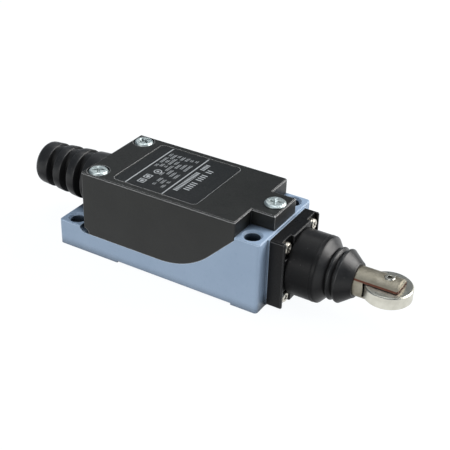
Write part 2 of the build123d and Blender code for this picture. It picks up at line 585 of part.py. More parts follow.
NC_BAR_X, NO_BAR_X = 7.1, 0.5
BAR_T = 0.8
with BuildPart() as contact_bridges:
    for x in (NC_BAR_X, NO_BAR_X):
        box_between(x, x + BAR_T, -7.1, 7.1, AXIS_Z - 1.2, AXIS_Z + 1.2)
contact_bridges.part.label = "contact_bridges"
export_step(contact_bridges.part, "parts/contact_bridges.step")

with BuildPart() as bridge_contacts:
    for y in (-CONTACT_Y, CONTACT_Y):
        rod_x(NC_BAR_X + BAR_T, NC_BAR_X + BAR_T + 0.45, 1.0, y)
        rod_x(NO_BAR_X - 0.45, NO_BAR_X, 1.0, y)
bridge_contacts.part.label = "bridge_contacts"
export_step(bridge_contacts.part, "parts/bridge_contacts.step")

with BuildPart() as fixed_contacts:
    for y in (-CONTACT_Y, CONTACT_Y):
        rod_x(NC_BAR_X + BAR_T + 0.5, 8.9, 1.1, y)
        rod_x(-1.7, -1.2, 1.1, y)
fixed_contacts.part.label = "fixed_contacts"
export_step(fixed_contacts.part, "parts/fixed_contacts.step")

with BuildPart() as bridge_springs:
    coil_x(4.2, 4, NC_BAR_X - 4.4, 0.95, 0.12)
    coil_x(NO_BAR_X + BAR_T + 0.2, 3, 3.2 - NO_BAR_X - BAR_T - 0.4, 0.95, 0.12)
bridge_springs.part.label = "bridge_springs"
export_step(bridge_springs.part, "parts/bridge_springs.step")

with BuildPart() as nc_terminals:
    for side in (-1, 1):
        nc_strip(side)
        rod_z(HIGH_TERMINAL_X, side * TERMINAL_Y, HIGH_STEP_Z - 1, 14, 1.55, Mode.SUBTRACT)
nc_terminals.part.label = "nc_terminals"
export_step(nc_terminals.part, "parts/nc_terminals.step")

with BuildPart() as no_terminals:
    for side in (-1, 1):
        no_strip(side)
        rod_z(LOW_TERMINAL_X, side * TERMINAL_Y, LOW_STEP_Z - 1, 9, 1.55, Mode.SUBTRACT)
no_terminals.part.label = "no_terminals"
export_step(no_terminals.part, "parts/no_terminals.step")

with BuildPart() as terminal_screw:
    pan_screw(2.3, 1.6, M3_R, 3.4, 1.3)

TERMINALS = [(LOW_TERMINAL_X, s * TERMINAL_Y, LOW_STEP_Z + STRIP_T) for s in (-1, 1)]
TERMINALS += [(HIGH_TERMINAL_X, s * TERMINAL_Y, HIGH_STEP_Z + STRIP_T) for s in (-1, 1)]
CLAMP_T = 0.7

with BuildPart() as clamp_plates:
    for x, y, z in TERMINALS:
        with Locations((x, y, z + CLAMP_T / 2)):
            Box(4.6, 4.2, CLAMP_T)
            Hole(1.55)
    chamfer(clamp_plates.edges().filter_by(Axis.Z).filter_by(GeomType.LINE), 0.4)
clamp_plates.part.label = "clamp_plates"
export_step(clamp_plates.part, "parts/clamp_plates.step")

with BuildPart() as terminal_screws:
    for x, y, z in TERMINALS:
        with Locations((x, y, z + CLAMP_T)):
            add(terminal_screw.part)
terminal_screws.part.label = "terminal_screws"
export_step(terminal_screws.part, "parts/terminal_screws.step")

with BuildPart() as long_switch_screw:
    pan_screw(2.2, 1.4, 1.2, 4.6, 1.1)

with BuildPart() as short_switch_screw:
    pan_screw(2.2, 1.4, 1.2, 3.8, 1.1)

with BuildPart() as switch_screws:
    with Locations((LOW_TERMINAL_X, 0, LOW_STEP_Z)):
        add(long_switch_screw.part)
    with Locations((FOOT_SCREW_X, 0, CASE_Z0 + 2)):
        add(short_switch_screw.part)
switch_screws.part.label = "switch_screws"
export_step(switch_screws.part, "parts/switch_screws.step")

with BuildPart() as ground_washer:
    rod_z(EARTH_X, EARTH_Y, EARTH_BOSS_Z, EARTH_BOSS_Z + WASHER_T, 3.0)
    rod_z(EARTH_X, EARTH_Y, EARTH_BOSS_Z - 1, EARTH_BOSS_Z + 2, M3_CLEAR_R, Mode.SUBTRACT)
ground_washer.part.label = "ground_washer"
export_step(ground_washer.part, "parts/ground_washer.step")

with BuildPart() as earth_screw_shape:
    pan_screw(2.6, 1.7, M3_R, 3.2, 1.4)

with BuildPart() as ground_screw:
    with Locations((EARTH_X, EARTH_Y, EARTH_BOSS_Z + WASHER_T)):
        add(earth_screw_shape.part)
ground_screw.part.label = "ground_screw"
export_step(ground_screw.part, "parts/ground_screw.step")
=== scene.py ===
import json
import math

import bmesh
import bpy
from mathutils import Matrix, Vector


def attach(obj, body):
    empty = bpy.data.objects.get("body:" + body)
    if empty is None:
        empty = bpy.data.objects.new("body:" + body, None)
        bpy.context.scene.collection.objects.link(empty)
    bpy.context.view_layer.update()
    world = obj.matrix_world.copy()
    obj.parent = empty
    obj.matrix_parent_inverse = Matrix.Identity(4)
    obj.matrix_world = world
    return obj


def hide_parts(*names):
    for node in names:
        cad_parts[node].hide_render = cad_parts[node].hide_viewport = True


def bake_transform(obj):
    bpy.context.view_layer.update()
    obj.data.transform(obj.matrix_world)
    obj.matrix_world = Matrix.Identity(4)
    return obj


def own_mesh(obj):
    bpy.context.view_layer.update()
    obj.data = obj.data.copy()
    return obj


MM = 0.001
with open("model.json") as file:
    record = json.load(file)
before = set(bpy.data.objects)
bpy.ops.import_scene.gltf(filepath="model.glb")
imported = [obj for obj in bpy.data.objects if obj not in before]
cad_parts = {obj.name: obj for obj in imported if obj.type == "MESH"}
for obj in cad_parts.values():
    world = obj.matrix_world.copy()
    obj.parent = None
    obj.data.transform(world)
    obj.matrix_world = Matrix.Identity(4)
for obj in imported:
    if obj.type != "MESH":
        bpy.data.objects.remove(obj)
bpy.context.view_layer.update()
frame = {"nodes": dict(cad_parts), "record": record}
nodes = frame["nodes"]


# ---- camera, light and floor ------------------------------------------------------------
CAMERA_TARGET = Vector((10.41, 5.85, 9.72)) * MM
CAMERA_AZIMUTH, CAMERA_ELEVATION, CAMERA_ROLL = 30.14, 30.98, 1.79
CAMERA_DISTANCE = 272.8 * MM
CAMERA_LENS = 78.85
FLOOR_HALF = 12.0
FLOOR_DROP = 0.00002
FLOOR_GLOW = 0.975
SKY_STRENGTH = 0.17


def add_camera():
    """Camera on a sphere round the target, azimuth 0 looking along +Y."""
    azimuth, elevation = math.radians(CAMERA_AZIMUTH), math.radians(CAMERA_ELEVATION)
    back = Vector((
        math.sin(azimuth) * math.cos(elevation),
        -math.cos(azimuth) * math.cos(elevation),
        math.sin(elevation),
    ))
    right = Vector((0, 0, 1)).cross(back).normalized()
    up = back.cross(right)
    turn = Matrix((right, up, back)).transposed().to_4x4()
    data = bpy.data.cameras.new("camera")
    data.lens = CAMERA_LENS
    data.clip_start = 0.01
    camera = bpy.data.objects.new("camera", data)
    roll = Matrix.Rotation(math.radians(CAMERA_ROLL), 4, "Z")
    camera.matrix_world = Matrix.Translation(CAMERA_TARGET + back * CAMERA_DISTANCE) @ turn @ roll
    bpy.context.scene.collection.objects.link(camera)
    bpy.context.scene.camera = camera


def add_area(name, place, aim, size, power, colour):
    """Square softbox at place, facing aim; metres and watts."""
    data = bpy.data.lights.new(name, "AREA")
    data.size = size
    data.energy = power
    data.color = colour
    lamp = bpy.data.objects.new(name, data)
    lamp.location = place
    lamp.rotation_euler = (Vector(aim) - Vector(place)).to_track_quat("-Z", "Y").to_euler()
    bpy.context.scene.collection.objects.link(lamp)


def add_stage():
    """Light table, dim surroundings and softboxes."""
    scene = bpy.context.scene
    scene.view_settings.view_transform = "Standard"
    world = bpy.data.worlds.new("studio")
    scene.world = world
    world.use_nodes = True
    sky = world.node_tree.nodes["Background"]
    sky.inputs["Color"].default_value = (0.72, 0.85, 1.0, 1)
    sky.inputs["Strength"].default_value = SKY_STRENGTH
    add_area("left_back_box", (-0.34, 0.38, 0.61), (0.01, 0, 0.01), 0.26, 0.6, (1.0, 0.99, 0.97))
    add_area("right_back_box", (0.51, 0.42, 0.425), (0.04, 0, 0.01), 0.54, 6.6, (1.0, 0.98, 0.96))
    add_area("front_box", (-0.12, -0.75, 0.26), (0.0, 0, 0.01), 0.40, 2.0, (1.0, 0.99, 0.97))
    add_area("top_box", (0.0, -0.05, 0.90), (0, 0, 0), 0.50, 3.8, (0.96, 0.98, 1.0))
    mesh = bpy.data.meshes.new("floor")
    corners = [(u * FLOOR_HALF, v * FLOOR_HALF, 0) for u, v in ((-1, -1), (1, -1), (1, 1), (-1, 1))]
    mesh.from_pydata(corners, [], [(0, 1, 2, 3)])
    floor = bpy.data.objects.new("floor", mesh)
    scene.collection.objects.link(floor)
    floor.location.z = -FLOOR_DROP
    material = bpy.data.materials.new("floor_sweep")
    material.use_nodes = True
    shader = material.node_tree.nodes["Principled BSDF"]
    shader.inputs["Base Color"].default_value = (0.06, 0.06, 0.06, 1)
    shader.inputs["Roughness"].default_value = 0.9
    shader.inputs["Specular IOR Level"].default_value = 0.1
    shader.inputs["Emission Color"].default_value = (0.97, 0.985, 1.0, 1)
    shader.inputs["Emission Strength"].default_value = FLOOR_GLOW
    mesh.materials.append(material)


# ---- materials ---------------------------------------------------------------------------
class Surface:
    """A Principled material with helpers for procedural detail in object space (metres)."""

    def __init__(self, name, colour, roughness, metallic=0.0, specular=0.5):
        self.material = bpy.data.materials.new(name)
        self.material.use_nodes = True
        self.tree = self.material.node_tree
        self.shader = self.tree.nodes["Principled BSDF"]
        self.shader.inputs["Base Color"].default_value = (*colour, 1)
        self.shader.inputs["Roughness"].default_value = roughness
        self.shader.inputs["Metallic"].default_value = metallic
        self.shader.inputs["Specular IOR Level"].default_value = specular
        self.place = self.tree.nodes.new("ShaderNodeTexCoord").outputs["Object"]
        self.normal = None

    def link(self, source, target):
        self.tree.links.new(source, target)

    def node(self, kind, **values):
        made = self.tree.nodes.new(kind)
        for key, value in values.items():
            setattr(made, key, value)
        return made

    def stretched(self, scale):
        """Object coordinates scaled per axis."""
        mapping = self.node("ShaderNodeMapping")
        mapping.inputs["Scale"].default_value = scale
        self.link(self.place, mapping.inputs["Vector"])
        return mapping.outputs["Vector"]

    def noise(self, scale, detail=3.0, rough=0.55, vector=None):
        made = self.node("ShaderNodeTexNoise")
        made.inputs["Scale"].default_value = scale
        made.inputs["Detail"].default_value = detail
        made.inputs["Roughness"].default_value = rough
        self.link(vector or self.place, made.inputs["Vector"])
        return made.outputs["Fac"]

    def grains(self, scale, vector=None):
        made = self.node("ShaderNodeTexVoronoi", feature="F1")
        made.inputs["Scale"].default_value = scale
        self.link(vector or self.place, made.inputs["Vector"])
        return made.outputs["Distance"]

    def ramp(self, factor, stops):
        """Colour ramp from (position, colour) stops."""
        made = self.node("ShaderNodeValToRGB")
        made.color_ramp.elements[0].position = stops[0][0]
        made.color_ramp.elements[0].color = (*stops[0][1], 1)
        made.color_ramp.elements[1].position = stops[-1][0]
        made.color_ramp.elements[1].color = (*stops[-1][1], 1)
        for position, colour in stops[1:-1]:
            made.color_ramp.elements.new(position).color = (*colour, 1)
        self.link(factor, made.inputs["Fac"])
        return made.outputs["Color"]

    def remap(self, factor, low, high, new_low, new_high):
        """Factor carried from one range to another, held at both ends."""
        made = self.node("ShaderNodeMapRange")
        made.inputs["From Min"].default_value = low
        made.inputs["From Max"].default_value = high
        made.inputs["To Min"].default_value = new_low
        made.inputs["To Max"].default_value = new_high
        self.link(factor, made.inputs["Value"])
        return made.outputs["Result"]

    def blend_colour(self, factor, first, second):
        """Mix of two colours or colour sockets."""
        made = self.node("ShaderNodeMix", data_type="RGBA")
        self.link(factor, made.inputs[0])
        for value, slot in ((first, made.inputs[6]), (second, made.inputs[7])):
            if isinstance(value, tuple):
                slot.default_value = (*value, 1)
            else:
                self.link(value, slot)
        return made.outputs[2]

    def bump(self, height, depth, strength=1.0):
        """Adds relief of that depth in metres on top of the relief so far."""
        made = self.node("ShaderNodeBump")
        made.inputs["Strength"].default_value = strength
        made.inputs["Distance"].default_value = depth
        self.link(height, made.inputs["Height"])
        if self.normal is not None:
            self.link(self.normal, made.inputs["Normal"])
        self.normal = made.outputs["Normal"]
        self.link(self.normal, self.shader.inputs["Normal"])

    def round_edges(self, radius):
        """Shades the surface as if its edges had that radius; comes before any relief."""
        bevel = self.node("ShaderNodeBevel", samples=8)
        bevel.inputs["Radius"].default_value = radius
        self.normal = bevel.outputs["Normal"]
        self.link(self.normal, self.shader.inputs["Normal"])

    def product(self, first, second):
        """Product of two masks."""
        made = self.node("ShaderNodeMath", operation="MULTIPLY")
        self.link(first, made.inputs[0])
        self.link(second, made.inputs[1])
        return made.outputs[0]

    def band(self, axis, low, high, soft):
        """Mask that is 1 between two object-space positions on one axis."""
        split = self.node("ShaderNodeSeparateXYZ")
        self.link(self.place, split.inputs[0])
        rise = self.remap(split.outputs[axis], low - soft, low + soft, 0.0, 1.0)
        fall = self.remap(split.outputs[axis], high - soft, high + soft, 1.0, 0.0)
        return self.product(rise, fall)

    def upward(self, normal, low, high, least):
        """Share that goes from least to 1 as the normal's Z goes from low to high."""
        split = self.node("ShaderNodeSeparateXYZ")
        self.link(normal, split.inputs[0])
        return self.remap(split.outputs["Z"], low, high, least, 1.0)

    def recess_shade_mask(self, reach):
        """Mask that is 1 deep inside holes, slots and corners, where the finishes paint shade."""
        return self.remap(self.open_share(reach), 0.72, 0.36, 0.0, 1.0)

    def open_share(self, reach):
        """Share of the sky that nothing within reach hides."""
        made = self.node("ShaderNodeAmbientOcclusion", samples=8)
        made.inputs["Distance"].default_value = reach
        return made.outputs["AO"]

    def edges(self, radius):
        """Mask that is 1 where an upper edge turns within that radius, weaker on upright edges."""
        bevel = self.node("ShaderNodeBevel", samples=6)
        bevel.inputs["Radius"].default_value = radius
        flat = self.node("ShaderNodeNewGeometry")
        dot = self.node("ShaderNodeVectorMath", operation="DOT_PRODUCT")
        self.link(bevel.outputs["Normal"], dot.inputs[0])
        self.link(flat.outputs["Normal"], dot.inputs[1])
        turned = self.remap(dot.outputs["Value"], 0.998, 0.93, 0.0, 1.0)
        off_top = self.upward(bevel.outputs["Normal"], 0.93, 0.80, 0.0)
        off_side = self.upward(bevel.outputs["Normal"], 0.15, 0.5, 0.3)
        return self.product(self.product(turned, off_top), off_side)

    def colour(self, source):
        self.link(source, self.shader.inputs["Base Color"])

    def roughness(self, source):
        self.link(source, self.shader.inputs["Roughness"])


def powder_coat():
    """Blue-grey powder coat: orange peel, cloudy tone, paler edges that are partly polish wear and
    partly a painted highlight, and painted shade in holes and corners.
    """
    paint = Surface("base_powder_coat", (0.27, 0.37, 0.53), 0.42, specular=0.45)
    cloud = paint.noise(90, 4, 0.6)
    tone = paint.ramp(cloud, [(0.30, (0.258, 0.347, 0.470)), (0.70, (0.292, 0.385, 0.512))])
    paint.round_edges(0.00022)
    # Paler edges: partly polish wear, partly a painted highlight.
    wear = paint.edges(0.00034)
    speck = paint.remap(paint.noise(1400, 2, 0.5), 0.62, 0.80, 0.0, 0.35)
    worn_and_highlit = paint.blend_colour(wear, tone, (0.60, 0.73, 0.88))
    mottled = paint.blend_colour(speck, worn_and_highlit, (0.20, 0.28, 0.40))
    # Darkening in holes, slots and corners to a near-black blue is painted shade.
    paint.colour(paint.blend_colour(paint.recess_shade_mask(0.0055), mottled, (0.012, 0.02, 0.032)))
    paint.roughness(paint.remap(paint.noise(300, 3, 0.5), 0.3, 0.7, 0.36, 0.50))
    paint.bump(paint.noise(1500, 2, 0.4), 0.00003, 0.6)
    paint.bump(paint.noise(5200, 2, 0.5), 0.000008, 0.6)
    return paint.material


def moulded_plastic(name, colour, light, roughness, grain, specular=0.42, edge_rub_and_highlight=0.02):
    """Moulded plastic with a fine spark texture and paler edges that are partly rub wear and partly a
    painted highlight.
    """
    plastic = Surface(name, colour, roughness, specular=specular)
    cloud = plastic.noise(70, 4, 0.55)
    tone = plastic.ramp(cloud, [(0.3, colour), (0.72, light)])
    plastic.round_edges(0.00028)
    exposed = plastic.remap(plastic.open_share(0.0007), 0.70, 0.97, 0.1, 1.0)
    # Paler edges: partly rub wear, partly a painted highlight.
    highlight_rub_mask = plastic.product(plastic.edges(0.00030), exposed)
    highlit_edge_colour = tuple(min(1.0, c * 2.2 + edge_rub_and_highlight) for c in light)
    plastic.colour(plastic.blend_colour(highlight_rub_mask, tone, highlit_edge_colour))
    plastic.roughness(
        plastic.remap(plastic.noise(1700, 3, 0.6), 0.3, 0.7, roughness - 0.08, roughness + 0.11)
    )
    plastic.bump(plastic.grains(grain), 0.000016, 0.6)
    plastic.bump(plastic.noise(grain * 0.5, 3, 0.6), 0.00003, 0.6)
    return plastic.material


CUP_SPAN = (0.0365, 0.0447)
CUP_SHINE = 0.28


def rubber(name, colour, light, roughness, specular=0.3):
    """Dull rubber with bloom, fine grain, a little dust and painted shade in slots and folds; its
    specular level falls on downward faces, a painted shade; the bellows' cup is duller still.
    """
    skin = Surface(name, colour, roughness, specular=specular)
    skin.round_edges(0.00015)
    cup = skin.band("X", *CUP_SPAN, 0.0002)
    shine = skin.remap(cup, 0.0, 1.0, specular, specular * CUP_SHINE)
    # The specular level falls on downward-facing surfaces: a painted shade on the underside.
    facing = skin.node("ShaderNodeTexCoord").outputs["Normal"]
    level = skin.product(shine, skin.upward(facing, -0.1, 0.45, 0.15))
    skin.link(level, skin.shader.inputs["Specular IOR Level"])
    bloom = skin.noise(260, 5, 0.65)
    tone = skin.ramp(bloom, [(0.32, colour), (0.75, light)])
    dust = skin.remap(skin.noise(2600, 1, 0.4), 0.74, 0.80, 0.0, 0.5)
    dusty = skin.blend_colour(dust, tone, (0.16, 0.155, 0.15))
    # Darkening in slots and folds to near black is painted shade.
    skin.colour(skin.blend_colour(skin.recess_shade_mask(0.003), dusty, (0.002, 0.002, 0.002)))
    skin.roughness(skin.remap(bloom, 0.3, 0.7, roughness - 0.06, roughness + 0.08))
    skin.bump(skin.noise(3200, 3, 0.6), 0.000016, 0.55)
    skin.bump(skin.noise(700, 2, 0.5), 0.00002, 0.3)
    skin.shader.inputs["Sheen Weight"].default_value = 0.06
    return skin.material


# Copper colour of the painted reflection band on the rod.
COPPER_REFLECTION = (0.13, 0.052, 0.036)


def plated_metal(name, colour, shade, roughness, lines, reflection_band=None):
    """Plated steel with lay lines set by the per-axis scale, stains, bright edges that are partly rub
    wear and partly a painted highlight, and painted shade in recesses.

    The optional last argument is a (low, high) height band painted copper: a painted reflection along
    the slot's upper edge.
    """
    metal = Surface(name, colour, roughness, metallic=1.0)
    stain = metal.noise(420, 4, 0.6)
    tone = metal.ramp(stain, [(0.30, shade), (0.66, colour)])
    metal.round_edges(0.00012)
    highlit_edge_colour = tuple(min(1.0, c * 1.12 + 0.03) for c in colour)
    # Paler edges: partly rub wear, partly a painted highlight.
    edge_rub_and_highlight = metal.blend_colour(metal.edges(0.0001), tone, highlit_edge_colour)
    # Darkening in recesses towards a dark copy of the shade colour is painted shade.
    recess_shade_colour = tuple(c * 0.16 for c in shade)
    painted_light_colour = metal.blend_colour(metal.recess_shade_mask(0.0009), edge_rub_and_highlight, recess_shade_colour)
    # A copper-coloured height band is a painted reflection along the slot's upper edge.
    if reflection_band:
        painted_light_colour = metal.blend_colour(metal.band("Z", *reflection_band, 0.00006), painted_light_colour, COPPER_REFLECTION)
    metal.colour(painted_light_colour)
    lay = metal.noise(1.0, 2, 0.5, metal.stretched(lines))
    metal.roughness(metal.remap(lay, 0.25, 0.75, roughness - 0.07, roughness + 0.09))
    metal.bump(lay, 0.000004, 0.5)
    metal.bump(metal.noise(1900, 3, 0.6), 0.000005, 0.35)
    return metal.material


def label_ink():
    """Pale screen-printed ink, slightly broken up."""
    ink = Surface("label_ink", (0.42, 0.44, 0.45), 0.55)
    wear = ink.noise(5200, 3, 0.6)
    ink.colour(ink.ramp(wear, [(0.35, (0.26, 0.28, 0.29)), (0.62, (0.46, 0.48, 0.49))]))
    ink.bump(wear, 0.000004, 0.5)
    return ink.material


def fibre_sheet():
    """Pressed fibre insulation with visible fibres."""
    sheet = Surface("fibre_insulation", (0.45, 0.38, 0.24), 0.8)
    fibres = sheet.noise(1.0, 4, 0.7, sheet.stretched((300, 2200, 300)))
    sheet.colour(sheet.ramp(fibres, [(0.3, (0.34, 0.28, 0.17)), (0.7, (0.52, 0.45, 0.30))]))
    sheet.bump(fibres, 0.00004, 0.6)
    return sheet.material


FINE_LAY = (900, 9000, 9000)
TURNED_LAY = (9000, 900, 900)
FINISHES = {
    "base_paint": powder_coat(),
    "cover_plastic": moulded_plastic(
        "cover_black", (0.0095, 0.0100, 0.0090), (0.0150, 0.0155, 0.0142), 0.38, 4200, 0.32, 0.75
    ),
    "label_film": moulded_plastic(
        "label_black", (0.0080, 0.0090, 0.0093), (0.0115, 0.0130, 0.0135), 0.36, 6000, 0.27, 0.14
    ),
    "flange_plastic": moulded_plastic(
        "flange_black", (0.0045, 0.0045, 0.005), (0.0075, 0.0075, 0.008), 0.32, 5200, 0.16, 0.18
    ),
    "boot_rubber": rubber("boot_rubber", (0.005, 0.005, 0.0055), (0.0085, 0.0085, 0.009), 0.38, 0.57),
    "seal_rubber": rubber("seal_rubber", (0.022, 0.021, 0.020), (0.034, 0.033, 0.032), 0.6),
    "zinc_screw": plated_metal(
        "zinc_plate", (0.66, 0.73, 0.72), (0.44, 0.51, 0.52), 0.44, (3000, 3000, 500)
    ),
    "nickel_screw": plated_metal(
        "nickel_plate", (0.66, 0.63, 0.56), (0.46, 0.43, 0.37), 0.32, (500, 3000, 3000)
    ),
    "nickel_rod": plated_metal(
        "nickel_rod", (0.32, 0.30, 0.245), (0.22, 0.20, 0.155), 0.56, TURNED_LAY,
        # This height band is painted copper, a painted reflection along the slot's upper edge.
        reflection_band=(0.01262, 0.01306),
    ),
    "roller_steel": plated_metal(
        "roller_steel", (0.68, 0.665, 0.585), (0.55, 0.535, 0.465), 0.33, (2500, 2500, 9000)
    ),
    "bearing_bronze": plated_metal(
        "bearing_bronze", (0.62, 0.43, 0.24), (0.44, 0.29, 0.15), 0.38, TURNED_LAY
    ),
    "spring_steel": plated_metal(
        "spring_steel", (0.62, 0.62, 0.61), (0.42, 0.42, 0.42), 0.30, FINE_LAY
    ),
    "case_plastic": moulded_plastic(
        "switch_case_red", (0.19, 0.035, 0.018), (0.25, 0.05, 0.026), 0.45, 3500
    ),
    "pusher_plastic": moulded_plastic(
        "pusher_natural", (0.62, 0.60, 0.53), (0.70, 0.68, 0.60), 0.42, 3500
    ),
    "terminal_brass": plated_metal(
        "terminal_brass", (0.80, 0.60, 0.29), (0.62, 0.44, 0.19), 0.30, FINE_LAY
    ),
    "contact_silver": plated_metal(
        "contact_silver", (0.90, 0.89, 0.86), (0.76, 0.75, 0.72), 0.22, FINE_LAY
    ),
    "insulator": fibre_sheet(),
}


def dress_cad_nodes():
    """Gives each CAD node the finish of its record slot."""
    for part in frame["record"]["subparts"]:
        mesh = nodes[part["node"]].data
        mesh.materials.clear()
        mesh.materials.append(FINISHES[part["material_slot"]])


# ---- mesh helpers -------------------------------------------------------------------------
AXIS_Z = 10.6
GLAND_Z = 15.6


def add_piece(name, vertices, faces, slot, nodes_replaced=(), body="housing", crease=35):
    """Mesh from millimetre vertices with the finish of its slot; crease is in degrees."""
    mesh = bpy.data.meshes.new(name)
    mesh.from_pydata([Vector(v) * MM for v in vertices], [], faces)
    cleaner = bmesh.new()
    cleaner.from_mesh(mesh)
    bmesh.ops.remove_doubles(cleaner, verts=cleaner.verts, dist=1e-7)
    bmesh.ops.recalc_face_normals(cleaner, faces=cleaner.faces)
    cleaner.to_mesh(mesh)
    cleaner.free()
    mesh.polygons.foreach_set("use_smooth", [True] * len(mesh.polygons))
    mesh.set_sharp_from_angle(angle=math.radians(crease))
    mesh.materials.append(FINISHES[slot])
    piece = bpy.data.objects.new(name, mesh)
    bpy.context.scene.collection.objects.link(piece)
    if nodes_replaced:
        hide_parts(*nodes_replaced)
    if body:
        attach(piece, body)
    return piece


def rounded(points, steps=5):
    """Open polyline with each (u, v, radius) corner replaced by an arc."""
    made = []
    for index, (u, v, radius) in enumerate(points):
        corner = Vector((u, v))
        if radius == 0 or index in (0, len(points) - 1):
            made.append((u, v))
            continue
        before = Vector(points[index - 1][:2]) - corner
        after = Vector(points[index + 1][:2]) - corner
        half = before.angle(after) / 2
        reach = min(radius / math.tan(half), before.length * 0.48, after.length * 0.48)
        radius = reach * math.tan(half)
        start = corner + before.normalized() * reach
        end = corner + after.normalized() * reach
        middle = before.normalized() + after.normalized()
        centre = corner + middle.normalized() * (radius / math.sin(half))
        for step in range(steps + 1):
            chord = start.lerp(end, step / steps)
            arm = (chord - centre).normalized() * radius
            made.append(tuple(centre + arm))
    return made


def swept_rings(rings, closed_ends=False, wrap=False):
    """Quads between rings of equal length; wrap joins the last ring to the first."""
    count = len(rings[0])
    vertices = [v for ring in rings for v in ring]
    faces = []
    last = len(rings) if wrap else len(rings) - 1
    for row in range(last):
        low, high = row * count, ((row + 1) % len(rings)) * count
        for k in range(count):
            nxt = (k + 1) % count
            faces.append((low + k, low + nxt, high + nxt, high + k))
    if closed_ends:
        faces.append(tuple(range(count)))
        faces.append(tuple(range((len(rings) - 1) * count, len(rings) * count)))
    return vertices, faces


def lathe_x(outline, centre_z, segments=128):
    """Closed (x, r) outline turned about the X axis at that height."""
    rings = []
    for x, r in outline:
        ring = []
        for k in range(segments):
            turn = 2 * math.pi * k / segments
            ring.append((x, r * math.sin(turn), centre_z + r * math.cos(turn)))
        rings.append(ring)
    return swept_rings(rings, wrap=True)


def plate(x0, x1, y0, y1, z0, z1, soften=0.0):
    """Box with its four top edges softened."""
    def ring(inset, z):
        return [
            (x0 + inset, y0 + inset, z), (x1 - inset, y0 + inset, z),
            (x1 - inset, y1 - inset, z), (x0 + inset, y1 - inset, z),
        ]

    return swept_rings([ring(0, z0), ring(0, z1 - soften), ring(soften, z1)], closed_ends=True)


def joined(shapes):
    """One vertex and face list from several."""
    vertices, faces = [], []
    for more_vertices, more_faces in shapes:
        shift = len(vertices)
        vertices += more_vertices
        faces += [tuple(i + shift for i in face) for face in more_faces]
    return vertices, faces


# ---- sealing bellows -----------------------------------------------------------------------
SEAM_TURN, SEAM_HALF_TURN, SEAM_HEIGHT = -2.45, 0.022, 0.035
SEAM_FROM_R, SEAM_FROM_X = 7.9, 37.3


def add_bellows():
    """Boot over the head boss: cup with a mould seam, cone, two folds and a lip on the rod."""
    outer = rounded([
        (36.9, 8.1, 0), (36.9, 9.0, 0.12), (43.35, 9.0, 0.02), (43.42, 9.07, 0.03),
        (43.56, 9.07, 0.03), (43.62, 9.0, 0.02), (44.5, 9.0, 0.35), (46.5, 6.62, 0.12),
        (46.62, 6.1, 0.12), (46.82, 5.9, 0.12), (47.05, 6.25, 0.12), (47.3, 7.05, 0.32),
        (47.75, 7.12, 0.30), (48.42, 6.35, 0.15), (48.6, 5.9, 0.12), (48.85, 6.2, 0.12),
        (49.2, 7.1, 0.35), (49.85, 7.25, 0.38), (52.75, 5.05, 0.30), (53.28, 4.75, 0.2),
        (53.3, 4.1, 0),
    ])
    inner = rounded([
        (53.25, 4.06, 0), (51.9, 4.15, 0.2), (49.9, 6.15, 0.3), (49.3, 6.1, 0.2),
        (48.65, 5.05, 0.2), (47.7, 6.0, 0.3), (47.3, 5.95, 0.2), (46.8, 5.0, 0.2),
        (46.3, 5.7, 0.2), (44.2, 7.9, 0.3), (38.5, 8.02, 0.1), (36.95, 8.05, 0),
    ])
    vertices, faces = lathe_x(outer + inner, AXIS_Z, 144)
    shaped = []
    for x, y, z in vertices:
        turn = math.atan2(z - AXIS_Z, y)
        seam = max(0.0, 1 - abs(turn - SEAM_TURN) / SEAM_HALF_TURN)
        radius = math.hypot(y, z - AXIS_Z)
        if radius > SEAM_FROM_R and x > SEAM_FROM_X:
            grow = 1 + SEAM_HEIGHT * seam / radius
            y, z = y * grow, AXIS_Z + (z - AXIS_Z) * grow
        shaped.append((x, y, z))
    boot = add_piece(
        "bellows_boot_moulded", shaped, faces, "boot_rubber", ["bellows_boot"], body=None, crease=50
    )
    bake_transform(boot)


# ---- cable inlet ----------------------------------------------------------------------------
GLAND_SLOTS = (-41.2, -36.1, -30.9)
GLAND_SLOT_HALF = 1.2
GLAND_CORE_HALF = 4.1


def gland_radius(x):
    """Outer radius of the taper at x."""
    return 6.1 + 1.8 * (x + 47.0) / 23.6


